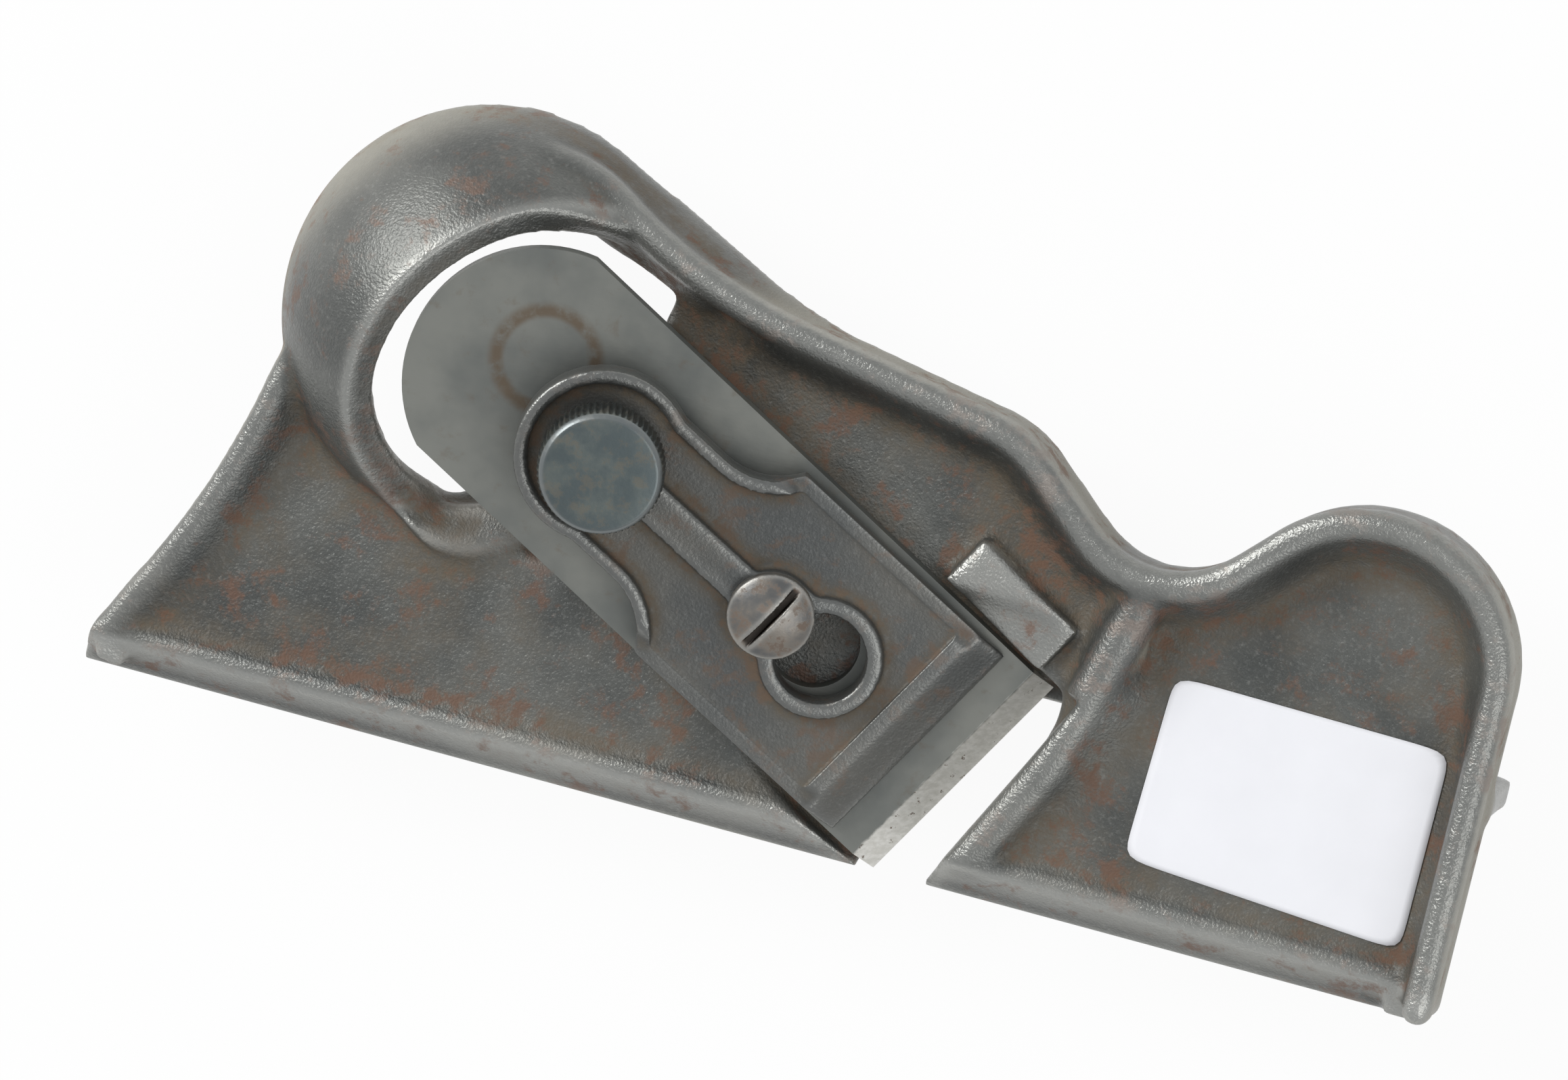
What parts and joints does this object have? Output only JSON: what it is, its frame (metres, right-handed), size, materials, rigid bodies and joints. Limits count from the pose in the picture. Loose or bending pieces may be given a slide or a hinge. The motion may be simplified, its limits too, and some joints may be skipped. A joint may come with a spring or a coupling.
{
  "type": "edge trimming plane",
  "caption": "Cast edge trimming plane with a fence under its sole, a skewed cutter, a screwed lever cap, a finger hump and a hollow palm dome.",
  "frame": {"origin": "under the middle of the bounding box, level with the far edge of the fence", "axes": "+X along the sole from heel to toe, +Y across the sole from its free edge towards the fence, +Z square to the sole, away from the work"},
  "size_m": [0.1524, 0.0702, 0.0412],
  "materials": {
    "casting": "old cast iron, dark blue-grey, worn bright on the beads, rust brown in the corners",
    "cutter": "old steel, dark blue-grey, bright at the ground bevel",
    "cap": "old cast iron with bright worn edges and brown fields",
    "screw": "worn steel with some rust",
    "thumb": "blued steel with a bright chamfer"
  },
  "bodies": {
    "body": {"body": "casting"},
    "cutter": {"cutter": "cutter"},
    "lever_cap": {"lever_cap": "cap"},
    "cap_screw": {"cap_screw": "screw"},
    "thumb_screw": {"thumb_screw": "thumb"}
  },
  "joints": [
    {"name": "cutter_slide", "type": "slide", "parent": "body", "child": "cutter", "axis": [-0.8384, 0.5038, 0.2079], "range_m": [-0.003, 0.0005]},
    {"name": "lever_cap_slide", "type": "slide", "parent": "body", "child": "lever_cap", "axis": [-0.8299, 0.4986, 0.2504], "range_m": [0, 0.0072]},
    {"name": "cap_screw_turn", "type": "hinge", "parent": "body", "child": "cap_screw", "pos_m": [-0.00251, -0.00912, 0.02327], "axis": [0.2146, -0.129, 0.9681], "range_deg": [0, 720]},
    {"name": "thumb_screw_turn", "type": "hinge", "parent": "lever_cap", "child": "thumb_screw", "pos_m": [-0.02276, 0.00304, 0.02937], "axis": [0.2146, -0.129, 0.9681], "range_deg": [0, 720]}
  ]
}
